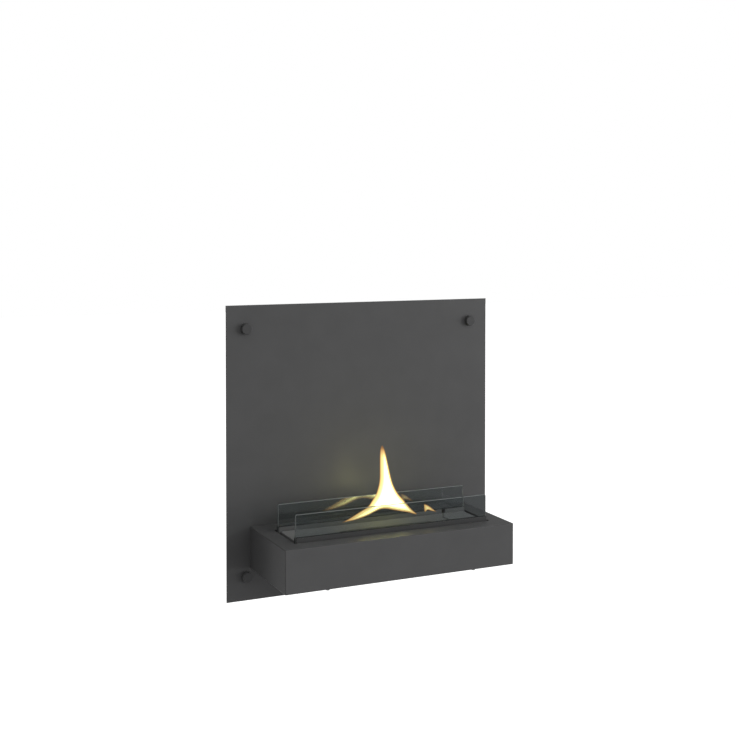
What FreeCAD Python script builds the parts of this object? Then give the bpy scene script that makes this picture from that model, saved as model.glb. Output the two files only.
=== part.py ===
import FreeCAD, Part
import math
import os

# Wall-mounted bioethanol fireplace, in millimetres.
# X runs to the right, Y into the wall and Z up. The origin is on the wall,
# in the middle of the four wall fixings, so the front of the fireplace faces -Y.

Vector = FreeCAD.Vector
LEFT = -1
RIGHT = 1
FRONT = -1
REAR = 1
LOWER = -1
UPPER = 1
X_AXIS = Vector(1, 0, 0)
Y_AXIS = Vector(0, 1, 0)
Z_AXIS = Vector(0, 0, 1)
CUT_OVERRUN = 5.0
PARALLEL_SHARE = 0.999

# Back panel
PANEL_WIDTH = 600.0
PANEL_HEIGHT = 600.0
PANEL_SHEET = 2.0

# Wall fixings: barrel behind the panel, bored from both ends, and cap with a stud in front of it
FIXING_SIDE_INSET = 42.0
FIXING_END_INSET = 48.0
BARREL_LENGTH = 20.0
BARREL_DIAMETER = 20.0
FIXING_BORE = 8.0
FIXING_BORE_DEPTH = 12.0
STUD_DIAMETER = 6.0
STUD_REACH = 6.0
STUD_CLEARANCE = 0.2
CAP_DIAMETER = 22.0
CAP_HEIGHT = 9.0
CAP_RIM_BEVEL = 1.2
PANEL_HOLE_CLEARANCE = 0.5

# Housing: folded shell and its floor sheet
HOUSING_WIDTH = 500.0
HOUSING_DEPTH = 200.0
HOUSING_HEIGHT = 85.0
HOUSING_RISE = 65.0
HOUSING_SHEET = 1.5
HOUSING_EDGE_RADIUS = 1.8
HOUSING_FLANGE = 15.0
FLOOR_CLEARANCE = 0.4
OPENING_END_MARGIN = 34.5
OPENING_REAR_MARGIN = 47.0
OPENING_SIDE_GAP = 3.0
OPENING_END_GAP = 4.5
OPENING_CORNER_RADIUS = 2.0

# Glass panes, the channels that they stand in and the gaskets between
GLASS_THICKNESS = 5.0
GLASS_RISE = 53.5
GLASS_SPACING = 96.0
GLASS_CORNER_RADIUS = 3.0
GLASS_EDGE_CHAMFER = 0.6
GLASS_CLEARANCE = 0.2
GASKET_WALL = 1.8
GASKET_LIP = 0.8
CHANNEL_RISE = 8.0
CHANNEL_HEIGHT = 17.0
CHANNEL_SHEET = 1.5
CHANNEL_BEND_RADIUS = 2.0

# Burner: lid with the flame slot, tank, fibre and screen
LID_SIDE_GAP = 1.0
LID_END_GAP = 3.0
LID_SHEET = 1.5
LID_SKIRT = 9.0
LID_CORNER_RADIUS = 6.0
LID_EDGE_BEVEL = 0.8
SLOT_LENGTH = 210.0
SLOT_WIDTH = 24.0
SLOT_OFFSET = 17.0
TANK_FIT = 0.1
TANK_HEIGHT = 40.0
TANK_WALL = 1.2
TANK_BASE_BEVEL = 2.5
PAD_CLEARANCE = 0.5
PAD_CORNER_RADIUS = 4.0
SCREEN_DROP = 8.0
SCREEN_SHEET = 1.0
SCREEN_CLEARANCE = 0.5
MESH_PITCH_X = 15.0
MESH_PITCH_Y = 8.0
MESH_STRAND = 2.0

# Snuffer: plate under the lid, its end guides, stem and knob
SNUFFER_END_LAP = 45.0
SNUFFER_REAR_GAP = 4.2
SNUFFER_SHEET = 1.5
SNUFFER_LAP = 2.0
SNUFFER_CORNER_RADIUS = 3.0
SLIDE_CLEARANCE = 0.3
GUIDE_SHEET = 1.2
GUIDE_LIP = 5.0
GUIDE_FLANGE = 9.0
GUIDE_END_GAP = 3.0
KNOB_END_INSET = 8.0
KNOB_SETBACK = 11.0
STEM_DIAMETER = 4.0
STEM_TENON_DIAMETER = 3.0
TENON_CLEARANCE = 0.05
STEM_RUN_CLEARANCE = 0.8
KNOB_DIAMETER = 8.0
KNOB_HEIGHT = 7.0
KNOB_RISE = 18.0
KNOB_SOCKET = 4.0
KNOB_RIM_BEVEL = 1.2

# Cradles inside the housing
CRADLE_SPACING = 300.0
CRADLE_SHEET = 2.0
CRADLE_TAB = 20.0
CRADLE_MARGIN = 2.0
NOTCH_CLEARANCE = 1.0
NOTCH_RADIUS = 3.0
FLOOR_LUG = 14.0
FLOOR_LUG_SPREAD = 84.0
CHANNEL_LUG = 6.0
LUG_CLEARANCE = 0.2

# Fasteners
BOLT_DIAMETER = 5.0
BOLT_ACROSS_FLATS = 8.0
BOLT_HEAD_HEIGHT = 3.5
BOLT_TIP = 1.0
NUT_HEIGHT = 4.0
BOLT_SPREAD = 320.0
SCREW_DIAMETER = 4.0
SCREW_ACROSS_FLATS = 7.0
SCREW_HEAD_HEIGHT = 2.8
HOLE_CLEARANCE = 0.25
THREAD_CLEARANCE = 0.05

# Places that follow from the sizes above
FIXING_X = PANEL_WIDTH / 2 - FIXING_SIDE_INSET
FIXING_Z = PANEL_HEIGHT / 2 - FIXING_END_INSET
PANEL_BACK = -BARREL_LENGTH
PANEL_FACE = PANEL_BACK - PANEL_SHEET
STUD_HOLE = STUD_DIAMETER + 2 * PANEL_HOLE_CLEARANCE
HOUSING_LOW = HOUSING_RISE - PANEL_HEIGHT / 2
HOUSING_TOP = HOUSING_LOW + HOUSING_HEIGHT
HOUSING_FRONT = PANEL_FACE - HOUSING_DEPTH
HOUSING_SIDE = HOUSING_WIDTH / 2
FLOOR_UNDERSIDE = HOUSING_LOW + HOUSING_SHEET
FLOOR_FACE = FLOOR_UNDERSIDE + HOUSING_SHEET
FLANGE_CENTRE = (HOUSING_FLANGE + HOUSING_SHEET) / 2

GASKET_WIDTH = GLASS_THICKNESS + 2 * (GLASS_CLEARANCE + GASKET_WALL)
CHANNEL_WIDTH = GASKET_WIDTH + 2 * CHANNEL_SHEET
OPENING_LENGTH = HOUSING_WIDTH - 2 * OPENING_END_MARGIN
GLASS_LENGTH = OPENING_LENGTH - 2 * OPENING_END_GAP
OPENING_DEPTH = GLASS_SPACING + CHANNEL_WIDTH + 2 * OPENING_SIDE_GAP
BURNER_Y = PANEL_FACE - OPENING_REAR_MARGIN - OPENING_DEPTH / 2
CHANNEL_TOP = HOUSING_TOP + CHANNEL_RISE
CHANNEL_LOW = CHANNEL_TOP - CHANNEL_HEIGHT
CHANNEL_FLOOR = CHANNEL_LOW + CHANNEL_SHEET
GLASS_LOW = CHANNEL_FLOOR + GASKET_WALL
GLASS_TOP = HOUSING_TOP + GLASS_RISE

LID_LENGTH = GLASS_LENGTH - 2 * LID_END_GAP
LID_DEPTH = GLASS_SPACING - CHANNEL_WIDTH - 2 * LID_SIDE_GAP
LID_TOP = HOUSING_TOP
LID_UNDERSIDE = LID_TOP - LID_SHEET
TANK_LENGTH = LID_LENGTH - 2 * (LID_SHEET + TANK_FIT)
TANK_DEPTH = LID_DEPTH - 2 * (LID_SHEET + TANK_FIT)
TANK_CORNER_RADIUS = LID_CORNER_RADIUS - LID_SHEET
TANK_LOW = LID_UNDERSIDE - TANK_HEIGHT
TANK_FLOOR = TANK_LOW + TANK_WALL
SCREEN_TOP = LID_UNDERSIDE - SCREEN_DROP
SCREEN_LOW = SCREEN_TOP - SCREEN_SHEET
SLOT_Y = BURNER_Y - SLOT_OFFSET

SNUFFER_LENGTH = SLOT_LENGTH + 2 * SNUFFER_END_LAP
SNUFFER_TRAVEL = SLOT_WIDTH + 2 * SNUFFER_LAP
SNUFFER_FRONT = SLOT_Y + SLOT_WIDTH / 2 + SNUFFER_LAP
SNUFFER_REAR = BURNER_Y + TANK_DEPTH / 2 - TANK_WALL - SNUFFER_REAR_GAP
KNOB_OFFSET = SNUFFER_LENGTH / 2 - KNOB_END_INSET
SNUFFER_TOP = LID_UNDERSIDE - SLIDE_CLEARANCE
SNUFFER_LOW = SNUFFER_TOP - SNUFFER_SHEET
STEM_Y = SNUFFER_FRONT + KNOB_SETBACK
KNOB_TOP = LID_TOP + KNOB_RISE
KNOB_LOW = KNOB_TOP - KNOB_HEIGHT
GUIDE_DEPTH = TANK_DEPTH - 2 * (TANK_WALL + GUIDE_END_GAP)

CRADLE_HALF_DEPTH = GLASS_SPACING / 2 + CHANNEL_WIDTH / 2 + CRADLE_MARGIN
NOTCH_HALF_DEPTH = LID_DEPTH / 2 + NOTCH_CLEARANCE
CRADLE_X = CRADLE_SPACING / 2
LUG_ROOT = CRADLE_X + CRADLE_SHEET / 2


def block(x_span, y_span, z_span):
    """Box between two corners, each span a pair of low and high."""
    corner = Vector(x_span[0], y_span[0], z_span[0])
    return Part.makeBox(x_span[1] - x_span[0], y_span[1] - y_span[0], z_span[1] - z_span[0], corner)


def around(centre, size):
    """Span of a given size about a centre."""
    return (centre - size / 2, centre + size / 2)


def rod(diameter, start, direction, length):
    return Part.makeCylinder(diameter / 2, length, start, direction)


def edges_along(shape, axis):
    """Straight edges of a shape that run along one axis."""
    found = []
    for edge in shape.Edges:
        if edge.Curve.TypeId == "Part::GeomLine" and abs(edge.Curve.Direction.dot(axis)) > PARALLEL_SHARE:
            found.append(edge)
    return found


def edges_at(edges, axis, place):
    """Those edges whose centre lies at one place along an axis."""
    near = HOLE_CLEARANCE / 2
    return [edge for edge in edges if abs(edge.CenterOfMass.dot(axis) - place) < near]


def plate(x_span, y_span, z_span, corner_radius):
    """Flat plate with its upright corners rounded."""
    body = block(x_span, y_span, z_span)
    return body.makeFillet(corner_radius, edges_along(body, Z_AXIS))


def prism(points, direction):
    """Solid swept straight from a closed outline of points."""
    outline = Part.makePolygon(points + points[:1])
    return Part.Face(outline).extrude(direction)


def mirrored(shape):
    """The same shape on the other side of the middle plane."""
    return shape.mirror(Vector(0, 0, 0), X_AXIS)


def turned(points_rz, start, direction):
    """Body of revolution from an outline of (radius, height) points, set up along a direction."""
    outline = [Vector(radius, 0, height) for radius, height in points_rz]
    body = Part.Face(Part.makePolygon(outline + outline[:1])).revolve(Vector(0, 0, 0), Z_AXIS, 360)
    body.Placement = FreeCAD.Placement(start, FreeCAD.Rotation(Z_AXIS, direction))
    return body


def hexagon_prism(across_flats, start, direction, length):
    radius = across_flats / math.sqrt(3)
    angles = [k * math.pi / 3 for k in range(6)]
    corners = [Vector(radius * math.cos(angle), radius * math.sin(angle), 0) for angle in angles]
    body = prism(corners, Vector(0, 0, length))
    body.Placement = FreeCAD.Placement(start, FreeCAD.Rotation(Z_AXIS, direction))
    return body


def hexagon_bolt(diameter, across_flats, head_height, seat, direction, reach):
    """Hexagon-headed bolt, its head seated at a point and its shank along a direction."""
    head = hexagon_prism(across_flats, seat - direction * head_height, direction, head_height)
    return head.fuse(rod(diameter, seat, direction, reach))


def hexagon_nut(across_flats, height, thread, seat, direction):
    body = hexagon_prism(across_flats, seat, direction, height)
    start = seat - direction * CUT_OVERRUN
    return body.cut(rod(thread + 2 * THREAD_CLEARANCE, start, direction, height + 2 * CUT_OVERRUN))


def fixing_places():
    """Wall fixing centres, as (x, z)."""
    return [(side * FIXING_X, level * FIXING_Z) for side in (LEFT, RIGHT) for level in (LOWER, UPPER)]


def bolt_places():
    """Housing bolt centres, as (x, z): two above and two below."""
    rows = (HOUSING_TOP - FLANGE_CENTRE, FLOOR_UNDERSIDE + FLANGE_CENTRE)
    return [(side * BOLT_SPREAD / 2, row) for side in (LEFT, RIGHT) for row in rows]


def floor_screw_places():
    """Floor screw centres in the shell's front lower flange, as (x, y)."""
    return [(side * BOLT_SPREAD / 2, HOUSING_FRONT + FLANGE_CENTRE) for side in (LEFT, RIGHT)]


def floor_lug_places():
    """Centres of the cradles' lower lugs, as (x, y)."""
    offsets = (-FLOOR_LUG_SPREAD / 2, FLOOR_LUG_SPREAD / 2)
    return [(side * LUG_ROOT, BURNER_Y + offset) for side in (LEFT, RIGHT) for offset in offsets]


def channel_lug_places(row):
    """Centres of the cradles' upper lugs under one channel, as (x, y)."""
    return [(side * LUG_ROOT, BURNER_Y + row * GLASS_SPACING / 2) for side in (LEFT, RIGHT)]


def lug(place, length, z_span):
    """Flat lug on a cradle's upright, at an (x, y) place."""
    return block(around(place[0], CRADLE_SHEET), around(place[1], length), z_span)


def lug_slots(places, length, z_span):
    """Cutters for the slots that take lugs, through a sheet."""
    spare = 2 * LUG_CLEARANCE
    through = (z_span[0] - CUT_OVERRUN, z_span[1] + CUT_OVERRUN)
    return [block(around(x, CRADLE_SHEET + spare), around(y, length + spare), through) for x, y in places]


def drill_along_y(body, places, diameter, y_span):
    length = y_span[1] - y_span[0] + 2 * CUT_OVERRUN
    holes = [rod(diameter, Vector(x, y_span[0] - CUT_OVERRUN, z), Y_AXIS, length) for x, z in places]
    return body.cut(holes)


def drill_along_z(body, places, diameter, z_span, margin):
    """Upright holes through a sheet, longer than it by a margin at both ends."""
    length = z_span[1] - z_span[0] + 2 * margin
    holes = [rod(diameter, Vector(x, y, z_span[0] - margin), Z_AXIS, length) for x, y in places]
    return body.cut(holes)


def make_back_panel():
    sheet_span = (PANEL_FACE, PANEL_BACK)
    body = block(around(0, PANEL_WIDTH), sheet_span, around(0, PANEL_HEIGHT))
    body = drill_along_y(body, fixing_places(), STUD_HOLE, sheet_span)
    return drill_along_y(body, bolt_places(), BOLT_DIAMETER + 2 * HOLE_CLEARANCE, sheet_span)


def make_barrel(x, z):
    """Barrel between the wall and the panel, tapped behind for the wall and in front for the cap."""
    outer = BARREL_DIAMETER / 2
    rear_bore = FIXING_BORE / 2
    front_bore = STUD_DIAMETER / 2 + STUD_CLEARANCE
    profile = [
        (rear_bore, 0),
        (outer, 0),
        (outer, BARREL_LENGTH),
        (front_bore, BARREL_LENGTH),
        (front_bore, FIXING_BORE_DEPTH),
        (rear_bore, FIXING_BORE_DEPTH),
    ]
    return turned(profile, Vector(x, 0, z), -Y_AXIS)


def make_cap(x, z):
    """Round cap with its stud, which runs back through the panel into the barrel."""
    stud_radius = STUD_DIAMETER / 2
    stud_length = PANEL_SHEET + STUD_REACH
    rim = CAP_DIAMETER / 2
    profile = [
        (0, -stud_length),
        (stud_radius, -stud_length),
        (stud_radius, 0),
        (rim, 0),
        (rim, CAP_HEIGHT - CAP_RIM_BEVEL),
        (rim - CAP_RIM_BEVEL, CAP_HEIGHT),
        (0, CAP_HEIGHT),
    ]
    return turned(profile, Vector(x, PANEL_FACE, z), -Y_AXIS)


def make_housing_shell():
    """Folded box, open behind and below inside its flanges, with the burner opening in its top."""
    body = block(around(0, HOUSING_WIDTH), (HOUSING_FRONT, PANEL_FACE), (HOUSING_LOW, HOUSING_TOP))
    along_x = edges_at(edges_along(body, X_AXIS), Y_AXIS, HOUSING_FRONT)
    along_z = edges_at(edges_along(body, Z_AXIS), Y_AXIS, HOUSING_FRONT)
    folds = along_x + along_z + edges_along(body, Y_AXIS)
    body = body.makeFillet(HOUSING_EDGE_RADIUS, folds)
    inner_side = HOUSING_SIDE - HOUSING_SHEET
    inner_top = HOUSING_TOP - HOUSING_SHEET
    cavity = block(
        (-inner_side, inner_side),
        (HOUSING_FRONT + HOUSING_SHEET, PANEL_FACE - HOUSING_SHEET),
        (FLOOR_UNDERSIDE, inner_top),
    )
    way_back = block(
        around(0, HOUSING_WIDTH - 2 * HOUSING_FLANGE),
        (PANEL_FACE - HOUSING_FLANGE, PANEL_FACE + CUT_OVERRUN),
        (HOUSING_LOW - CUT_OVERRUN, HOUSING_TOP - HOUSING_FLANGE),
    )
    way_down = block(
        around(0, HOUSING_WIDTH - 2 * HOUSING_FLANGE),
        (HOUSING_FRONT + HOUSING_FLANGE, PANEL_FACE + CUT_OVERRUN),
        (HOUSING_LOW - CUT_OVERRUN, HOUSING_LOW + HOUSING_FLANGE),
    )
    opening = plate(
        around(0, OPENING_LENGTH),
        around(BURNER_Y, OPENING_DEPTH),
        (inner_top - CUT_OVERRUN, HOUSING_TOP + CUT_OVERRUN),
        OPENING_CORNER_RADIUS,
    )
    body = body.cut([cavity, way_back, way_down, opening])
    rear_span = (PANEL_FACE - HOUSING_SHEET, PANEL_FACE)
    body = drill_along_y(body, bolt_places(), BOLT_DIAMETER + 2 * HOLE_CLEARANCE, rear_span)
    low_span = (HOUSING_LOW, FLOOR_UNDERSIDE)
    hole = SCREW_DIAMETER + 2 * HOLE_CLEARANCE
    return drill_along_z(body, floor_screw_places(), hole, low_span, HOUSING_SHEET)


def make_housing_floor():
    """Bottom sheet on the shell's lower flanges, turned up behind against the panel."""
    side = HOUSING_SIDE - HOUSING_SHEET - FLOOR_CLEARANCE
    front = HOUSING_FRONT + HOUSING_SHEET + FLOOR_CLEARANCE
    flange_side = HOUSING_SIDE - HOUSING_FLANGE - FLOOR_CLEARANCE
    sheet = block((-side, side), (front, PANEL_FACE - HOUSING_SHEET), (FLOOR_UNDERSIDE, FLOOR_FACE))
    flange = block(
        (-flange_side, flange_side),
        (PANEL_FACE - HOUSING_SHEET, PANEL_FACE),
        (FLOOR_UNDERSIDE, FLOOR_UNDERSIDE + HOUSING_FLANGE),
    )
    body = sheet.fuse(flange).removeSplitter()
    low_edges = edges_at(edges_along(body, X_AXIS), Z_AXIS, FLOOR_UNDERSIDE)
    body = body.makeFillet(HOUSING_EDGE_RADIUS, edges_at(low_edges, Y_AXIS, PANEL_FACE))
    flange_bolts = [(x, z) for x, z in bolt_places() if z < FLOOR_UNDERSIDE + HOUSING_FLANGE]
    flange_span = (PANEL_FACE - HOUSING_SHEET, PANEL_FACE)
    body = drill_along_y(body, flange_bolts, BOLT_DIAMETER + 2 * HOLE_CLEARANCE, flange_span)
    tapped = SCREW_DIAMETER + 2 * THREAD_CLEARANCE
    sheet_span = (FLOOR_UNDERSIDE, FLOOR_FACE)
    body = drill_along_z(body, floor_screw_places(), tapped, sheet_span, HOUSING_SHEET)
    return body.cut(lug_slots(floor_lug_places(), FLOOR_LUG, sheet_span))


def make_cradle(side):
    """Upright bracket with a notch for the tank, tabs and lugs for the channels, and a foot on the floor."""
    low_x, high_x = CRADLE_X, CRADLE_X + CRADLE_SHEET
    shoulder = CHANNEL_LOW - CRADLE_SHEET
    saddle = TANK_LOW - CRADLE_SHEET
    upright = block((low_x, high_x), around(BURNER_Y, 2 * CRADLE_HALF_DEPTH), (FLOOR_FACE, CHANNEL_LOW))
    notch = block(
        (low_x - CUT_OVERRUN, high_x + CUT_OVERRUN),
        around(BURNER_Y, 2 * NOTCH_HALF_DEPTH),
        (TANK_LOW, CHANNEL_LOW + CUT_OVERRUN),
    )
    low_corners = edges_at(edges_along(notch, X_AXIS), Z_AXIS, TANK_LOW)
    upright = upright.cut(notch.makeFillet(NOTCH_RADIUS, low_corners))
    tab_span = (low_x, high_x + CRADLE_TAB)
    tabs = []
    for row in (FRONT, REAR):
        ends = sorted((BURNER_Y + row * NOTCH_HALF_DEPTH, BURNER_Y + row * CRADLE_HALF_DEPTH))
        tabs.append(block(tab_span, ends, (shoulder, CHANNEL_LOW)))
    seat_depth = 2 * (NOTCH_HALF_DEPTH - NOTCH_RADIUS)
    tabs.append(block(tab_span, around(BURNER_Y, seat_depth), (saddle, TANK_LOW)))
    foot_span = around(BURNER_Y, 2 * CRADLE_HALF_DEPTH)
    tabs.append(block(tab_span, foot_span, (FLOOR_FACE, FLOOR_FACE + CRADLE_SHEET)))
    lugs = [lug(place, FLOOR_LUG, (FLOOR_UNDERSIDE, FLOOR_FACE)) for place in floor_lug_places()]
    for row in (FRONT, REAR):
        lug_span = (CHANNEL_LOW, CHANNEL_FLOOR - LUG_CLEARANCE)
        lugs += [lug(place, CHANNEL_LUG, lug_span) for place in channel_lug_places(row)]
    right_lugs = [piece for piece in lugs if piece.CenterOfMass.x > 0]
    body = upright.fuse(tabs + right_lugs).removeSplitter()
    return body if side == RIGHT else mirrored(body)


def make_channel(row):
    """Folded U channel that holds the foot of a pane."""
    middle = BURNER_Y + row * GLASS_SPACING / 2
    length = around(0, GLASS_LENGTH)
    body = block(length, around(middle, CHANNEL_WIDTH), (CHANNEL_LOW, CHANNEL_TOP))
    body = body.makeFillet(CHANNEL_BEND_RADIUS, edges_at(edges_along(body, X_AXIS), Z_AXIS, CHANNEL_LOW))
    inside = block(
        around(0, GLASS_LENGTH + 2 * CUT_OVERRUN),
        around(middle, GASKET_WIDTH),
        (CHANNEL_FLOOR, CHANNEL_TOP + CUT_OVERRUN),
    )
    floor_span = (CHANNEL_LOW, CHANNEL_FLOOR)
    return body.cut([inside] + lug_slots(channel_lug_places(row), CHANNEL_LUG, floor_span))


def make_gasket(row):
    """Strip that lines a channel and shows as a thin lip above it."""
    middle = BURNER_Y + row * GLASS_SPACING / 2
    lip_top = CHANNEL_TOP + GASKET_LIP
    body = block(around(0, GLASS_LENGTH), around(middle, GASKET_WIDTH), (CHANNEL_FLOOR, lip_top))
    groove = block(
        around(0, GLASS_LENGTH + 2 * CUT_OVERRUN),
        around(middle, GLASS_THICKNESS + 2 * GLASS_CLEARANCE),
        (GLASS_LOW, lip_top + CUT_OVERRUN),
    )
    return body.cut(groove)


def make_glass(row):
    """Pane with rounded upper corners and ground edges."""
    middle = BURNER_Y + row * GLASS_SPACING / 2
    body = block(around(0, GLASS_LENGTH), around(middle, GLASS_THICKNESS), (GLASS_LOW, GLASS_TOP))
    body = body.makeFillet(GLASS_CORNER_RADIUS, edges_at(edges_along(body, Y_AXIS), Z_AXIS, GLASS_TOP))
    rims = []
    for face in (-GLASS_THICKNESS / 2, GLASS_THICKNESS / 2):
        rims += edges_at(body.Edges, Y_AXIS, middle + face)
    ground = [edge for edge in rims if edge.CenterOfMass.z > GLASS_LOW + GLASS_EDGE_CHAMFER]
    return body.makeChamfer(GLASS_EDGE_CHAMFER, ground)


def make_lid():
    """Burner top: a shallow folded lid with the flame slot and the slit for the knob's stem."""
    skirt_low = LID_TOP - LID_SKIRT
    lid_span = (skirt_low, LID_TOP)
    body = plate(around(0, LID_LENGTH), around(BURNER_Y, LID_DEPTH), lid_span, LID_CORNER_RADIUS)
    top_rim = [edge for edge in body.Edges if abs(edge.CenterOfMass.z - LID_TOP) < LID_EDGE_BEVEL]
    body = body.makeChamfer(LID_EDGE_BEVEL, top_rim)
    hollow = plate(
        around(0, LID_LENGTH - 2 * LID_SHEET),
        around(BURNER_Y, LID_DEPTH - 2 * LID_SHEET),
        (skirt_low - CUT_OVERRUN, LID_UNDERSIDE),
        TANK_CORNER_RADIUS,
    )
    through = (LID_UNDERSIDE - CUT_OVERRUN, LID_TOP + CUT_OVERRUN)
    end_radius = SLOT_WIDTH / 2 - SLIDE_CLEARANCE
    slot = plate(around(0, SLOT_LENGTH), around(SLOT_Y, SLOT_WIDTH), through, end_radius)
    slit_width = STEM_DIAMETER + 2 * STEM_RUN_CLEARANCE
    slit_length = SNUFFER_TRAVEL + slit_width
    slit_radius = STEM_DIAMETER / 2
    slit = plate(
        around(KNOB_OFFSET, slit_width),
        around(STEM_Y - SNUFFER_TRAVEL / 2, slit_length),
        through,
        slit_radius,
    )
    return body.cut([hollow, slot, slit])


def make_tank():
    """Open fuel tray under the lid, its rim against the lid's underside."""
    outside = plate(
        around(0, TANK_LENGTH),
        around(BURNER_Y, TANK_DEPTH),
        (TANK_LOW, LID_UNDERSIDE),
        TANK_CORNER_RADIUS,
    )
    low_rim = [edge for edge in outside.Edges if abs(edge.CenterOfMass.z - TANK_LOW) < TANK_WALL]
    outside = outside.makeChamfer(TANK_BASE_BEVEL, low_rim)
    inside = plate(
        around(0, TANK_LENGTH - 2 * TANK_WALL),
        around(BURNER_Y, TANK_DEPTH - 2 * TANK_WALL),
        (TANK_FLOOR, LID_UNDERSIDE + CUT_OVERRUN),
        TANK_CORNER_RADIUS - TANK_WALL,
    )
    inside_low = [edge for edge in inside.Edges if abs(edge.CenterOfMass.z - TANK_FLOOR) < TANK_WALL]
    even_wall = TANK_WALL * (2 - math.sqrt(2))
    inside = inside.makeChamfer(TANK_BASE_BEVEL - even_wall, inside_low)
    return outside.cut(inside)


def make_pad():
    """Block of absorbent fibre that fills the lower part of the tank."""
    spare = 2 * (TANK_WALL + PAD_CLEARANCE)
    body = plate(
        around(0, TANK_LENGTH - spare),
        around(BURNER_Y, TANK_DEPTH - spare),
        (TANK_FLOOR, SCREEN_LOW),
        PAD_CORNER_RADIUS,
    )
    low_rim = [edge for edge in body.Edges if abs(edge.CenterOfMass.z - TANK_FLOOR) < PAD_CLEARANCE]
    return body.makeChamfer(TANK_BASE_BEVEL, low_rim)


def make_screen():
    """Expanded-metal sheet on the fibre, open in staggered diamonds below the flame slot."""
    spare = 2 * (TANK_WALL + SCREEN_CLEARANCE)
    body = plate(
        around(0, TANK_LENGTH - spare),
        around(BURNER_Y, TANK_DEPTH - spare),
        (SCREEN_LOW, SCREEN_TOP),
        PAD_CORNER_RADIUS,
    )
    half_x = (MESH_PITCH_X - MESH_STRAND) / 2
    half_y = (MESH_PITCH_Y - MESH_STRAND) / 2
    columns = int(SLOT_LENGTH / MESH_PITCH_X)
    rows = int(SLOT_WIDTH / MESH_PITCH_Y)
    drop = Vector(0, 0, -SCREEN_SHEET - 2 * CUT_OVERRUN)
    top = SCREEN_TOP + CUT_OVERRUN
    holes = []
    for row in range(rows):
        y = SLOT_Y + (row - (rows - 1) / 2) * MESH_PITCH_Y
        stagger = MESH_PITCH_X / 2 * (row % 2)
        for column in range(columns - row % 2):
            x = (column - (columns - 1) / 2) * MESH_PITCH_X + stagger
            diamond = [
                Vector(x - half_x, y, top),
                Vector(x, y - half_y, top),
                Vector(x + half_x, y, top),
                Vector(x, y + half_y, top),
            ]
            holes.append(prism(diamond, drop))
    return body.cut(holes)


def make_guide(side):
    """Z strip under the lid, with a lip below the snuffer plate's end."""
    web = SNUFFER_LENGTH / 2 + SLIDE_CLEARANCE
    lip_top = SNUFFER_LOW - SLIDE_CLEARANCE
    lip_low = lip_top - GUIDE_SHEET
    outline = [
        (web - GUIDE_LIP, lip_low),
        (web + GUIDE_SHEET, lip_low),
        (web + GUIDE_SHEET, LID_UNDERSIDE - GUIDE_SHEET),
        (web + GUIDE_FLANGE, LID_UNDERSIDE - GUIDE_SHEET),
        (web + GUIDE_FLANGE, LID_UNDERSIDE),
        (web, LID_UNDERSIDE),
        (web, lip_top),
        (web - GUIDE_LIP, lip_top),
    ]
    start = BURNER_Y - GUIDE_DEPTH / 2
    body = prism([Vector(x, start, z) for x, z in outline], Vector(0, GUIDE_DEPTH, 0))
    return body if side == RIGHT else mirrored(body)


def make_snuffer_plate():
    """Plate that slides forward under the lid until it covers the flame slot."""
    body = plate(
        around(0, SNUFFER_LENGTH),
        (SNUFFER_FRONT, SNUFFER_REAR),
        (SNUFFER_LOW, SNUFFER_TOP),
        SNUFFER_CORNER_RADIUS,
    )
    hole = STEM_TENON_DIAMETER + 2 * TENON_CLEARANCE
    return drill_along_z(body, [(KNOB_OFFSET, STEM_Y)], hole, (SNUFFER_LOW, SNUFFER_TOP), SNUFFER_SHEET)


def make_stem():
    """Thin stem, its tenon riveted in the snuffer plate and its top end in the knob."""
    profile = [
        (0, SNUFFER_LOW),
        (STEM_TENON_DIAMETER / 2, SNUFFER_LOW),
        (STEM_TENON_DIAMETER / 2, SNUFFER_TOP),
        (STEM_DIAMETER / 2, SNUFFER_TOP),
        (STEM_DIAMETER / 2, KNOB_LOW + KNOB_SOCKET),
        (0, KNOB_LOW + KNOB_SOCKET),
    ]
    return turned(profile, Vector(KNOB_OFFSET, STEM_Y, 0), Z_AXIS)


def make_knob():
    """Small round knob with a blind socket for the stem."""
    socket = STEM_DIAMETER / 2 + TENON_CLEARANCE
    rim = KNOB_DIAMETER / 2
    profile = [
        (socket, KNOB_LOW),
        (rim, KNOB_LOW),
        (rim, KNOB_TOP - KNOB_RIM_BEVEL),
        (rim - KNOB_RIM_BEVEL, KNOB_TOP),
        (0, KNOB_TOP),
        (0, KNOB_LOW + KNOB_SOCKET),
        (socket, KNOB_LOW + KNOB_SOCKET),
    ]
    return turned(profile, Vector(KNOB_OFFSET, STEM_Y, 0), Z_AXIS)


def make_housing_bolts():
    """Bolts from behind the panel, through the housing's flanges."""
    reach = PANEL_SHEET + HOUSING_SHEET + NUT_HEIGHT + BOLT_TIP
    sizes = (BOLT_DIAMETER, BOLT_ACROSS_FLATS, BOLT_HEAD_HEIGHT)
    return [hexagon_bolt(*sizes, Vector(x, PANEL_BACK, z), -Y_AXIS, reach) for x, z in bolt_places()]


def make_housing_nuts():
    seat = PANEL_FACE - HOUSING_SHEET
    sizes = (BOLT_ACROSS_FLATS, NUT_HEIGHT, BOLT_DIAMETER)
    return [hexagon_nut(*sizes, Vector(x, seat, z), -Y_AXIS) for x, z in bolt_places()]


def make_floor_screws():
    """Screws driven up through the shell's flange into the floor sheet."""
    reach = 2 * HOUSING_SHEET
    sizes = (SCREW_DIAMETER, SCREW_ACROSS_FLATS, SCREW_HEAD_HEIGHT)
    return [hexagon_bolt(*sizes, Vector(x, y, HOUSING_LOW), Z_AXIS, reach) for x, y in floor_screw_places()]


def write(name, solids):
    """One file per node; a group of like pieces is written as separate solids."""
    shape = solids[0] if len(solids) == 1 else Part.makeCompound(solids)
    shape.exportStep(os.path.join("parts", name + ".step"))


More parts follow.
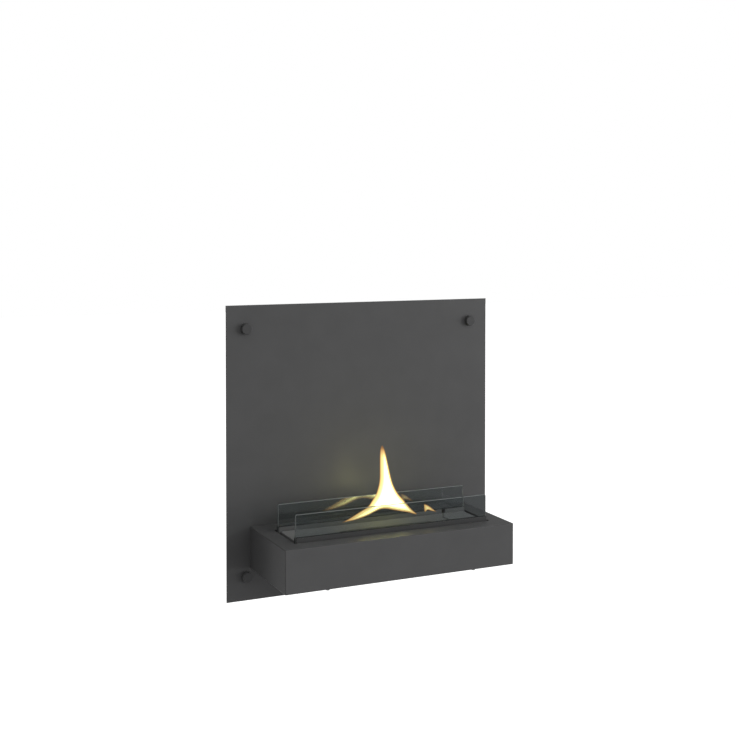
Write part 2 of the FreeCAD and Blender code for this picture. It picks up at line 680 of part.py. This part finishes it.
def main():
    os.makedirs("parts", exist_ok=True)
    write("back_panel", [make_back_panel()])
    write("standoff_barrels", [make_barrel(x, z) for x, z in fixing_places()])
    write("standoff_caps", [make_cap(x, z) for x, z in fixing_places()])
    write("housing_shell", [make_housing_shell()])
    write("housing_floor", [make_housing_floor()])
    write("housing_bolts", make_housing_bolts())
    write("housing_nuts", make_housing_nuts())
    write("floor_screws", make_floor_screws())
    for name, side in (("left", LEFT), ("right", RIGHT)):
        write(name + "_cradle", [make_cradle(side)])
        write(name + "_slide_guide", [make_guide(side)])
    for name, row in (("front", FRONT), ("rear", REAR)):
        write(name + "_glass_channel", [make_channel(row)])
        write(name + "_glass_gasket", [make_gasket(row)])
        write(name + "_glass", [make_glass(row)])
    write("burner_lid", [make_lid()])
    write("burner_tank", [make_tank()])
    write("fibre_pad", [make_pad()])
    write("wick_screen", [make_screen()])
    write("snuffer_plate", [make_snuffer_plate()])
    write("knob_stem", [make_stem()])
    write("knob", [make_knob()])


main()
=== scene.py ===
import math

import bmesh
import bpy
import numpy as np
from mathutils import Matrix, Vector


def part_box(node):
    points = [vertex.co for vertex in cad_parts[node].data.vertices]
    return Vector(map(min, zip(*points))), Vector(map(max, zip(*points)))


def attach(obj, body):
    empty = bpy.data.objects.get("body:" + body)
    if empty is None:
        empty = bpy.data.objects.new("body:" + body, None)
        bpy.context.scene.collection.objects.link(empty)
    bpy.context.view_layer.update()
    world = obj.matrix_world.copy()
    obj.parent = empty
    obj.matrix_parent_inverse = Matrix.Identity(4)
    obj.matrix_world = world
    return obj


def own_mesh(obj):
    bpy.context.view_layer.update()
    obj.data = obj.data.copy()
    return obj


# Wall-mounted bioethanol fireplace: finishes, flame, light and camera.
# Metres, in the frame of the construction model: X right, Y into the wall, Z up.

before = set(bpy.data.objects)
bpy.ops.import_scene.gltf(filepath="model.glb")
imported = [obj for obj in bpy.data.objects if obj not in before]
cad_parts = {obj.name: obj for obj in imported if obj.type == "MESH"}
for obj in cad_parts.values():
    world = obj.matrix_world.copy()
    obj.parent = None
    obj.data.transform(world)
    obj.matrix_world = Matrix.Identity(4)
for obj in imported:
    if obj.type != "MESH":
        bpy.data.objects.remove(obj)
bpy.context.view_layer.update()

# Camera
CAMERA_PLACE = (-1.0360, -2.2976, 0.4567)
CAMERA_YAW = math.radians(24.83)
CAMERA_PITCH = math.radians(1.504)
CAMERA_LENS = 57.87
CAMERA_SHIFT_SHARE = -0.15

# Light: the room is brighter to the right, in front and above, and dim where it is mirrored
WHITE = (1, 1, 1, 1)
BLACK = (0, 0, 0, 1)
AMBIENT_LEVEL = 0.59
AMBIENT_SLOPE = (0.34, -0.13, 0.2)
ROOM_GLOSS_LEVEL = 0.06
BACKDROP_GLOSS_SHARE = 0.22
BACKDROP_EDGE_SHARE = 0.84
BACKDROP_CORE_SHARE = 0.95
KEY_PLACE = (4.8, -2.6, 0.5)
KEY_SIDE = 3.4
KEY_POWER = 228.0
AIM_POINT = (0, -0.1, -0.05)

# Floor: it ends in front of the fireplace, so that the panes mirror the dim room
FLOOR_LEVEL = -1.2
FLOOR_HALF_WIDTH = 20.0
FLOOR_FRONT = -1.5
FLOOR_BACK = 20.0
FLOOR_COLOUR = (0.42, 0.42, 0.42, 1)
FLOOR_ROUGHNESS = 0.9
FLOOR_LIFT = 0.95

# Textures: the shares between which noise mostly lies, and how much fine detail it has
TEXTURE_LOW_SHARE = 0.3
TEXTURE_HIGH_SHARE = 0.7
GRAIN_DETAIL = 2.0
PATCH_DETAIL = 3.0
LINE_DETAIL = 3.0
STRAND_DETAIL = 5.0
EVEN_STRETCH = (1, 1, 1)

# Baked coats: tone, gloss, index and grain
COAT_PATCH = 0.05
COAT_ROUGHNESS_SPREAD = 0.05
COATS = {
    "powder_coat": {
        "dark": (0.077, 0.077, 0.078), "light": (0.082, 0.082, 0.083), "roughness": 0.34, "index": 1.25,
        "grain_size": 0.0011, "grain_depth": 0.00005,
    },
    "cap_coat": {
        "dark": (0.060, 0.060, 0.061), "light": (0.064, 0.064, 0.065), "roughness": 0.36, "index": 1.2,
        "grain_size": 0.0009, "grain_depth": 0.00003,
    },
    "channel_coat": {
        "dark": (0.057, 0.058, 0.058), "light": (0.062, 0.063, 0.063), "roughness": 0.3, "index": 1.3,
        "grain_size": 0.0009, "grain_depth": 0.00003,
    },
    # painted light: a paler copy of channel_coat that stands in for light on the rear channel
    "rear_channel_painted_light_coat": {
        "dark": (0.118, 0.119, 0.119), "light": (0.128, 0.129, 0.129), "roughness": 0.34, "index": 1.15,
        "grain_size": 0.0009, "grain_depth": 0.00003,
    },
    "burner_coat": {
        "dark": (0.160, 0.161, 0.161), "light": (0.170, 0.171, 0.171), "roughness": 0.34, "index": 1.15,
        "grain_size": 0.0009, "grain_depth": 0.00003,
    },
    "gasket": {
        "dark": (0.046, 0.047, 0.047), "light": (0.052, 0.053, 0.053), "roughness": 0.7, "index": 1.2,
        "grain_size": 0.0006, "grain_depth": 0.00004,
    },
    "knob_black": {
        "dark": (0.010, 0.010, 0.010), "light": (0.014, 0.014, 0.014), "roughness": 0.4, "index": 1.3,
        "grain_size": 0.0005, "grain_depth": 0.00002,
    },
}

# Painted light: the rear channel gets a paler copy of the front channel's coat, standing in for light on its
# face, though both have the same slot in the record
PAINTED_LIGHT_COATS = {"rear_glass_channel": "rear_channel_painted_light_coat"}

# Brushed metals: fine lines drawn out along X, or round an axis along Y
METAL_PATCH = 0.03
METAL_ROUGHNESS_SPREAD = 0.06
LINE_SIZE = 0.0006
LINE_DEPTH = 0.00001
ALONG_X = (0.02, 1, 1)
ROUND_Y = (1, 0.05, 1)
METALS = {
    "barrel_steel": {
        "dark": (0.50, 0.50, 0.51), "light": (0.58, 0.58, 0.59), "roughness": 0.30, "stretch": ROUND_Y,
    },
    "tank_steel": {
        "dark": (0.46, 0.46, 0.46), "light": (0.54, 0.54, 0.54), "roughness": 0.32, "stretch": ALONG_X,
    },
    "screen_steel": {
        "dark": (0.34, 0.31, 0.27), "light": (0.44, 0.43, 0.42), "roughness": 0.38, "stretch": ALONG_X,
    },
}

# Zinc coats
SPANGLE_SIZE = 0.006
ZINC_GRAIN = 0.0015
ZINC_DEPTH = 0.00002
ZINC_ROUGHNESS_SPREAD = 0.08
ZINCS = {
    "zinc_steel": {"dark": (0.52, 0.53, 0.54), "light": (0.60, 0.61, 0.60), "roughness": 0.34},
    "bracket_steel": {"dark": (0.40, 0.41, 0.42), "light": (0.50, 0.51, 0.52), "roughness": 0.42},
}

# Fibres
FIBRE_STRETCH = (0.25, 1, 1)
FIBRE_SPECULAR = 0.1
FIBRE_ROUGHNESS_LOW = 0.85
FIBRE_ROUGHNESS_HIGH = 0.98
FIBRES = {
    "ceramic_fibre": {
        "dark": (0.62, 0.59, 0.52), "light": (0.80, 0.78, 0.72), "strand": 0.0012, "depth": 0.0004,
    },
}

# Glass: clear faces, and ground bevels and narrow edges that let little through
GLASS_INDEX = 1.9
GLASS_FACE = (0.828, 0.892, 0.905, 1)
GLASS_BEVEL = (0.23, 0.25, 0.25, 1)
GLASS_EDGE = (0.08, 0.095, 0.095, 1)
GLASS_SHADOW = (0.7, 0.73, 0.73, 1)
BEVEL_FROM_SHARE = 0.3
FACE_FROM_SHARE = 0.9
FACE_CLEAR_SHARE = 1.0
GROUND_CLEAR_SHARE = 0.12
GROUND_ROUGHNESS = 0.4

# Flame: outlines on one upright plane, as (x, z), from the tip at the left to the tip at the right
FLAME_UPPER_EDGE = [
    (-0.0955, -0.1335), (-0.0875, -0.1300), (-0.0725, -0.1235), (-0.0545, -0.1145), (-0.0360, -0.1060),
    (-0.0280, -0.0965), (-0.0180, -0.0835), (-0.0110, -0.0680), (-0.0070, -0.0520), (-0.0045, -0.0265),
    (-0.0030, -0.0105), (-0.0005, 0.0060), (0.0040, 0.0145), (0.0090, 0.0050), (0.0120, -0.0115),
    (0.0145, -0.0285), (0.0185, -0.0540), (0.0230, -0.0705), (0.0315, -0.0875), (0.0440, -0.1020),
    (0.0525, -0.1130), (0.0625, -0.1235), (0.0740, -0.1335),
]
FLAME_LOWER_EDGE = [
    (-0.0955, -0.1335), (-0.0855, -0.1320), (-0.0680, -0.1305), (-0.0435, -0.1255), (-0.0235, -0.1185),
    (-0.0100, -0.1145), (0.0035, -0.1150), (0.0170, -0.1185), (0.0350, -0.1230), (0.0535, -0.1275),
    (0.0650, -0.1315), (0.0740, -0.1335),
]
TONGUE_UPPER_EDGE = [
    (0.0890, -0.1140), (0.0920, -0.1140), (0.1020, -0.1195), (0.1105, -0.1265), (0.1185, -0.1330),
]
TONGUE_LOWER_EDGE = [
    (0.0890, -0.1140), (0.0910, -0.1305), (0.0965, -0.1265), (0.1065, -0.1295), (0.1185, -0.1330),
]

# Flame: its plane lies in front of the lid's middle, and its upper part leans to the left
FLAME_PLANE_OFFSET = 0.005
FLAME_STEPS_PER_SPAN = 5
FLAME_LEVELS = 26
FLAME_HALF_DEPTH = 0.009
FLAME_SWELL = 0.006
FLAME_LEAN = -0.0095
FLAME_LEAN_FROM = -0.093
FLAME_LEAN_TO = 0.0145
TINY = 1e-6

# Flame: the core is reached this far inside the outline, and the tip is cool over a share of the height
FLAME_RIM = 0.0108
FLAME_COOL_SHARE = 0.16
FLAME_GLOW = 9.0
FLAME_COLOUR_SHARES = [
    (0.0, (0.040, 0.017, 0.005, 0.3)),
    (0.16, (0.105, 0.060, 0.021, 0.75)),
    (0.4, (0.130, 0.110, 0.044, 1)),
    (0.7, (0.320, 0.300, 0.110, 1)),
    (1.0, (0.580, 0.560, 0.230, 1)),
]


def start_finish(name):
    material = bpy.data.materials.new("finish_" + name)
    material.use_nodes = True
    tree = material.node_tree
    return material, tree, tree.nodes["Principled BSDF"]


def grain(tree, size, detail=GRAIN_DETAIL, stretch=EVEN_STRETCH):
    """Noise whose features are about one size across, drawn out along an axis by a small stretch there."""
    place = tree.nodes.new("ShaderNodeTexCoord")
    mapping = tree.nodes.new("ShaderNodeMapping")
    noise = tree.nodes.new("ShaderNodeTexNoise")
    mapping.inputs["Scale"].default_value = stretch
    noise.inputs["Scale"].default_value = 1 / size
    noise.inputs["Detail"].default_value = detail
    tree.links.new(place.outputs["Object"], mapping.inputs["Vector"])
    tree.links.new(mapping.outputs["Vector"], noise.inputs["Vector"])
    return noise.outputs[0]


def cells(tree, size):
    """Flat cells of random value, about one size across."""
    place = tree.nodes.new("ShaderNodeTexCoord")
    voronoi = tree.nodes.new("ShaderNodeTexVoronoi")
    voronoi.inputs["Scale"].default_value = 1 / size
    tree.links.new(place.outputs["Object"], voronoi.inputs["Vector"])
    return voronoi.outputs["Color"]


def vary(tree, source, socket, low, high):
    """Drives a shader value from a texture, between two limits."""
    ranged = tree.nodes.new("ShaderNodeMapRange")
    ranged.inputs["From Min"].default_value = TEXTURE_LOW_SHARE
    ranged.inputs["From Max"].default_value = TEXTURE_HIGH_SHARE
    ranged.inputs["To Min"].default_value = low
    ranged.inputs["To Max"].default_value = high
    tree.links.new(source, ranged.inputs["Value"])
    tree.links.new(ranged.outputs["Result"], socket)


def vary_roughness(tree, source, shader, roughness, spread):
    """Drives the roughness from a texture, by a spread to either side."""
    vary(tree, source, shader.inputs["Roughness"], roughness - spread, roughness + spread)


def ramp_of(tree, source, stops):
    """Colour ramp with a stop at each share."""
    ramp = tree.nodes.new("ShaderNodeValToRGB")
    elements = ramp.color_ramp.elements
    elements[0].position, elements[0].color = stops[0]
    elements[1].position, elements[1].color = stops[-1]
    for share, colour in stops[1:-1]:
        elements.new(share).color = colour
    tree.links.new(source, ramp.inputs["Fac"])
    return ramp


def tint(tree, source, shader, dark, light):
    """Drives the base colour from a texture, between two colours."""
    ramp = ramp_of(tree, source, [(TEXTURE_LOW_SHARE, (*dark, 1)), (TEXTURE_HIGH_SHARE, (*light, 1))])
    tree.links.new(ramp.outputs["Color"], shader.inputs["Base Color"])


def relief(tree, shader, source, depth):
    """Fine relief of a given depth."""
    bump = tree.nodes.new("ShaderNodeBump")
    bump.inputs["Distance"].default_value = depth
    tree.links.new(source, bump.inputs["Height"])
    tree.links.new(bump.outputs["Normal"], shader.inputs["Normal"])


def combine(tree, operation, first, second):
    """Sum of two values, or another operation on them, each a socket or a number."""
    node = tree.nodes.new("ShaderNodeMath")
    node.operation = operation
    for socket, value in zip(node.inputs, (first, second)):
        if isinstance(value, bpy.types.NodeSocket):
            tree.links.new(value, socket)
        else:
            socket.default_value = value
    return node.outputs[0]


def along(tree, vector, direction):
    """How far a vector reaches along a direction."""
    node = tree.nodes.new("ShaderNodeVectorMath")
    node.operation = "DOT_PRODUCT"
    node.inputs[1].default_value = direction
    tree.links.new(vector, node.inputs[0])
    return node.outputs["Value"]


def show_mix(tree, share, first, second, output):
    """Sends two shaders to an output: the first where the share is zero, the second where it is one."""
    mix = tree.nodes.new("ShaderNodeMixShader")
    tree.links.new(share, mix.inputs["Fac"])
    tree.links.new(first, mix.inputs[1])
    tree.links.new(second, mix.inputs[2])
    tree.links.new(mix.outputs["Shader"], tree.nodes[output].inputs["Surface"])


def coated(name, dark, light, roughness, index, grain_size, grain_depth):
    """Baked paint: a faintly uneven tone and a fine grain in the gloss."""
    material, tree, shader = start_finish(name)
    shader.inputs["IOR"].default_value = index
    tint(tree, grain(tree, COAT_PATCH, PATCH_DETAIL), shader, dark, light)
    fine = grain(tree, grain_size)
    vary_roughness(tree, fine, shader, roughness, COAT_ROUGHNESS_SPREAD)
    relief(tree, shader, fine, grain_depth)
    return material


def brushed(name, dark, light, roughness, stretch):
    """Metal with fine lines drawn out along one axis."""
    material, tree, shader = start_finish(name)
    shader.inputs["Metallic"].default_value = 1
    tint(tree, grain(tree, METAL_PATCH, PATCH_DETAIL), shader, dark, light)
    lines = grain(tree, LINE_SIZE, LINE_DETAIL, stretch)
    vary_roughness(tree, lines, shader, roughness, METAL_ROUGHNESS_SPREAD)
    relief(tree, shader, lines, LINE_DEPTH)
    return material


def galvanised(name, dark, light, roughness):
    """Zinc coat with a spangle of flat cells."""
    material, tree, shader = start_finish(name)
    shader.inputs["Metallic"].default_value = 1
    spangle = cells(tree, SPANGLE_SIZE)
    tint(tree, spangle, shader, dark, light)
    vary_roughness(tree, spangle, shader, roughness, ZINC_ROUGHNESS_SPREAD)
    relief(tree, shader, grain(tree, ZINC_GRAIN), ZINC_DEPTH)
    return material


def fibrous(name, dark, light, strand, depth):
    """Matted fibre, soft and with hardly any gloss."""
    material, tree, shader = start_finish(name)
    shader.inputs["Specular IOR Level"].default_value = FIBRE_SPECULAR
    strands = grain(tree, strand, STRAND_DETAIL, FIBRE_STRETCH)
    tint(tree, strands, shader, dark, light)
    vary(tree, strands, shader.inputs["Roughness"], FIBRE_ROUGHNESS_LOW, FIBRE_ROUGHNESS_HIGH)
    relief(tree, shader, strands, depth)
    return material


def clear_glass():
    """Clear pane whose ground bevels and edges are rougher than its faces and let little through."""
    material, tree, shader = start_finish("clear_glass")
    shader.inputs["IOR"].default_value = GLASS_INDEX
    geometry = tree.nodes.new("ShaderNodeNewGeometry")
    split = tree.nodes.new("ShaderNodeSeparateXYZ")
    tree.links.new(geometry.outputs["True Normal"], split.inputs["Vector"])
    facing = combine(tree, "ABSOLUTE", split.outputs["Y"], 0)
    tones = [(0, GLASS_EDGE), (BEVEL_FROM_SHARE, GLASS_BEVEL), (FACE_FROM_SHARE, GLASS_FACE)]
    ramp = ramp_of(tree, facing, tones)
    ramp.color_ramp.interpolation = "CONSTANT"
    tree.links.new(ramp.outputs["Color"], shader.inputs["Base Color"])
    face = combine(tree, "GREATER_THAN", facing, FACE_FROM_SHARE)
    vary(tree, face, shader.inputs["Roughness"], GROUND_ROUGHNESS, 0)
    vary(tree, face, shader.inputs["Transmission Weight"], GROUND_CLEAR_SHARE, FACE_CLEAR_SHARE)
    light_path = tree.nodes.new("ShaderNodeLightPath")
    clear = tree.nodes.new("ShaderNodeBsdfTransparent")
    clear.inputs["Color"].default_value = GLASS_SHADOW
    shadow = light_path.outputs["Is Shadow Ray"]
    show_mix(tree, shadow, shader.outputs["BSDF"], clear.outputs["BSDF"], "Material Output")
    return material


def flame_finish():
    """Glowing gas: white in the core, orange and thin at the rim."""
    material, tree, shader = start_finish("flame")
    shader.inputs["Base Color"].default_value = BLACK
    shader.inputs["Specular IOR Level"].default_value = 0
    shader.inputs["Emission Strength"].default_value = FLAME_GLOW
    core = tree.nodes.new("ShaderNodeAttribute")
    core.attribute_name = "core_share"
    ramp = ramp_of(tree, core.outputs["Fac"], FLAME_COLOUR_SHARES)
    tree.links.new(ramp.outputs["Color"], shader.inputs["Emission Color"])
    tree.links.new(ramp.outputs["Alpha"], shader.inputs["Alpha"])
    return material


def smooth_line(points, steps):
    """Catmull-Rom line through a list of points."""
    given = np.array(points, float)
    padded = np.vstack([2 * given[0] - given[1], given, 2 * given[-1] - given[-2]])
    line = []
    for k in range(len(given) - 1):
        a, b, c, d = padded[k:k + 4]
        for step in range(steps):
            t = step / steps
            bend = (2 * a - 5 * b + 4 * c - d) * t * t + (3 * b - a - 3 * c + d) * t ** 3
            line.append((2 * b + (c - a) * t + bend) / 2)
    line.append(given[-1])
    return np.array(line)


def distance_to(points, line):
    """Distance of each point from a line of short segments."""
    starts, ends = line[:-1], line[1:]
    spans = ends - starts
    lengths = np.maximum((spans ** 2).sum(1), TINY ** 2)
    away = points[:, None, :] - starts[None]
    shares = np.clip((away * spans[None]).sum(2) / lengths, 0, 1)
    return np.sqrt(((away - shares[..., None] * spans[None]) ** 2).sum(2)).min(1)


def flame_grid(upper, lower):
    """Columns of points (x, z) from the lower edge to the upper one, closer together near both."""
    stations = upper[1:-1]
    floor_heights = np.interp(stations[:, 0], lower[:, 0], lower[:, 1])
    shares = (1 - np.cos(np.linspace(0, math.pi, FLAME_LEVELS))) / 2
    heights = floor_heights[:, None] + (stations[:, 1] - floor_heights)[:, None] * shares[None]
    return np.stack([np.repeat(stations[:, 0], FLAME_LEVELS), heights.ravel()], 1)


def flame_sides(flat, outline, middle_y, lean):
    """Front and rear points of the body: thickest away from the outline, leaning from a height upward."""
    depth = distance_to(flat, outline)
    swell = FLAME_HALF_DEPTH * (1 - np.exp(-depth / FLAME_SWELL))
    rise = np.clip((flat[:, 1] - FLAME_LEAN_FROM) / (FLAME_LEAN_TO - FLAME_LEAN_FROM), 0, 1)
    shifted = flat[:, 0] + lean * rise
    return [np.stack([shifted, middle_y + side * swell, flat[:, 1]], 1) for side in (-1, 1)]


def flame_mesh(name, sides, tips):
    """Closed mesh of the front and the rear columns, drawn together in a tip at either end."""
    mesh = bmesh.new()
    rows = [[mesh.verts.new(point) for point in points] for points in sides]
    left_tip, right_tip = [mesh.verts.new(tip) for tip in tips]
    last_column = len(rows[0]) - FLAME_LEVELS
    for side, row in enumerate(rows):
        for column in range(0, last_column, FLAME_LEVELS):
            for first in range(column, column + FLAME_LEVELS - 1):
                beyond = first + FLAME_LEVELS
                corners = [row[first], row[beyond], row[beyond + 1], row[first + 1]]
                mesh.faces.new(corners if side == 0 else corners[::-1])
        for tip, column in ((left_tip, 0), (right_tip, last_column)):
            for first in range(column, column + FLAME_LEVELS - 1):
                corners = [tip, row[first], row[first + 1]]
                mesh.faces.new(corners if (side == 0) == (column == 0) else corners[::-1])
    data = bpy.data.meshes.new(name)
    bmesh.ops.remove_doubles(mesh, verts=mesh.verts, dist=TINY)
    bmesh.ops.recalc_face_normals(mesh, faces=mesh.faces)
    mesh.to_mesh(data)
    mesh.free()
    data.polygons.foreach_set("use_smooth", [True] * len(data.polygons))
    return data


def mark_core(data, outline, middle_y):
    """Keeps on each vertex its share of the core's heat: zero at the outline and the top, one in the core."""
    places = np.array([tuple(vertex.co) for vertex in data.vertices])
    swells = np.abs(places[:, 1] - middle_y)
    depths = -FLAME_SWELL * np.log(np.maximum(1 - swells / FLAME_HALF_DEPTH, TINY))
    below_tip = outline[:, 1].max() - places[:, 2]
    warmth = np.clip(below_tip / (FLAME_COOL_SHARE * np.ptp(outline[:, 1])), 0, 1)
    shares = np.clip(warmth * depths / FLAME_RIM, 0, 1)
    core = data.attributes.new("core_share", "FLOAT", "POINT")
    core.data.foreach_set("value", shares.astype(np.float32))


def make_flame(name, upper_edge, lower_edge, middle_y, lean):
    """Closed lens-shaped body inside an outline, thin at its tips."""
    upper = smooth_line(upper_edge, FLAME_STEPS_PER_SPAN)
    lower = smooth_line(lower_edge, FLAME_STEPS_PER_SPAN)
    outline = np.vstack([upper, lower[::-1]])
    sides = flame_sides(flame_grid(upper, lower), outline, middle_y, lean)
    tips = [(x, middle_y, z) for x, z in (upper[0], upper[-1])]
    data = flame_mesh(name, sides, tips)
    mark_core(data, outline, middle_y)
    flame = bpy.data.objects.new(name, data)
    bpy.context.scene.collection.objects.link(flame)
    return flame


def seen_white(tree, light_path, behind):
    """One where a camera ray looks, and up to one where a bent ray meets the backdrop; else zero."""
    mirrored = combine(tree, "MULTIPLY", light_path.outputs["Is Glossy Ray"], BACKDROP_GLOSS_SHARE)
    bent = combine(tree, "MAXIMUM", mirrored, light_path.outputs["Is Transmission Ray"])
    met = combine(tree, "MULTIPLY", bent, behind)
    return combine(tree, "MAXIMUM", light_path.outputs["Is Camera Ray"], met)


def backdrop(tree, direction):
    """One where a ray goes the way the camera looks, falling to zero around that."""
    towards = along(tree, direction, (math.sin(CAMERA_YAW), math.cos(CAMERA_YAW), 0))
    behind = tree.nodes.new("ShaderNodeMapRange")
    behind.interpolation_type = "SMOOTHSTEP"
    behind.inputs["From Min"].default_value = BACKDROP_EDGE_SHARE
    behind.inputs["From Max"].default_value = BACKDROP_CORE_SHARE
    tree.links.new(towards, behind.inputs["Value"])
    return behind.outputs["Result"]


def make_world():
    """Studio light, white where the camera looks; mirrored, it is a pale backdrop in a dim room."""
    world = bpy.data.worlds.new("studio")
    bpy.context.scene.world = world
    world.use_nodes = True
    tree = world.node_tree
    light_path = tree.nodes.new("ShaderNodeLightPath")
    direction = tree.nodes.new("ShaderNodeTexCoord").outputs["Generated"]
    level = combine(tree, "ADD", along(tree, direction, AMBIENT_SLOPE), AMBIENT_LEVEL)
    lack = combine(tree, "SUBTRACT", ROOM_GLOSS_LEVEL, level)
    dimming = combine(tree, "MULTIPLY", light_path.outputs["Is Glossy Ray"], lack)
    light = tree.nodes["Background"]
    light.inputs["Color"].default_value = WHITE
    tree.links.new(combine(tree, "ADD", level, dimming), light.inputs["Strength"])
    white = tree.nodes.new("ShaderNodeBackground")
    white.inputs["Color"].default_value = WHITE
    seen = seen_white(tree, light_path, backdrop(tree, direction))
    show_mix(tree, seen, light.outputs["Background"], white.outputs["Background"], "World Output")


def make_floor():
    """Grey floor well below the fireplace, lifted to white where it is looked at."""
    data = bpy.data.meshes.new("floor")
    sides = (-FLOOR_HALF_WIDTH, FLOOR_HALF_WIDTH)
    corners = [(x, FLOOR_FRONT, FLOOR_LEVEL) for x in sides]
    corners += [(x, FLOOR_BACK, FLOOR_LEVEL) for x in sides[::-1]]
    data.from_pydata(corners, [], [(0, 1, 2, 3)])
    floor = bpy.data.objects.new("floor", data)
    bpy.context.scene.collection.objects.link(floor)
    material, tree, shader = start_finish("floor")
    shader.inputs["Roughness"].default_value = FLOOR_ROUGHNESS
    shader.inputs["Base Color"].default_value = FLOOR_COLOUR
    shader.inputs["Emission Color"].default_value = WHITE
    light_path = tree.nodes.new("ShaderNodeLightPath")
    lift = combine(tree, "MULTIPLY", seen_white(tree, light_path, 1), FLOOR_LIFT)
    tree.links.new(lift, shader.inputs["Emission Strength"])
    data.materials.append(material)


def aim(thing, target):
    """Turns a lamp so that it shines at a point."""
    away = [t - p for t, p in zip(target, thing.location)]
    flat = math.hypot(away[0], away[1])
    thing.rotation_euler = (math.atan2(flat, -away[2]), 0, math.atan2(-away[0], away[1]))


def make_lamp(name, place, side, power):
    data = bpy.data.lights.new(name, "AREA")
    data.shape = "SQUARE"
    data.size = side
    data.energy = power
    lamp = bpy.data.objects.new(name, data)
    lamp.location = place
    aim(lamp, AIM_POINT)
    bpy.context.scene.collection.objects.link(lamp)


def make_camera():
    data = bpy.data.cameras.new("camera")
    data.sensor_fit = "HORIZONTAL"
    data.lens = CAMERA_LENS
    data.shift_y = CAMERA_SHIFT_SHARE
    camera = bpy.data.objects.new("camera", data)
    camera.location = CAMERA_PLACE
    camera.rotation_euler = (math.pi / 2 - CAMERA_PITCH, 0, -CAMERA_YAW)
    bpy.context.scene.collection.objects.link(camera)
    bpy.context.scene.camera = camera


def finishes():
    """One finish for each material slot of the record, and the paler coat that paints light onto the rear
    channel.
    """
    made = {"clear_glass": clear_glass()}
    for maker, table in ((coated, COATS), (brushed, METALS), (galvanised, ZINCS), (fibrous, FIBRES)):
        for name, values in table.items():
            made[name] = maker(name, **values)
    return made


def dress_nodes():
    """Gives every CAD node the finish of its slot, or a paler coat that paints light onto it."""
    made = finishes()
    for name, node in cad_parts.items():
        for slot in node.material_slots:
            slot_name = slot.material.name.split(".")[0]
            slot.material = made[PAINTED_LIGHT_COATS.get(name, slot_name)]


def add_flame():
    """Two flames that go with the burner and sink under the lid as the snuffer closes."""
    low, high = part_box("burner_lid")
    plane_y = (low.y + high.y) / 2 - FLAME_PLANE_OFFSET
    finish = flame_finish()
    pieces = [
        make_flame("flame_main", FLAME_UPPER_EDGE, FLAME_LOWER_EDGE, plane_y, FLAME_LEAN),
        make_flame("flame_tongue", TONGUE_UPPER_EDGE, TONGUE_LOWER_EDGE, plane_y, 0),
    ]
    for piece in pieces:
        piece.data.materials.append(finish)
        piece.visible_shadow = False
        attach(piece, "burner")
        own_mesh(piece)


dress_nodes()
add_flame()
make_world()
make_floor()
make_lamp("key", KEY_PLACE, KEY_SIDE, KEY_POWER)
make_camera()
bpy.context.scene.view_settings.view_transform = "Standard"
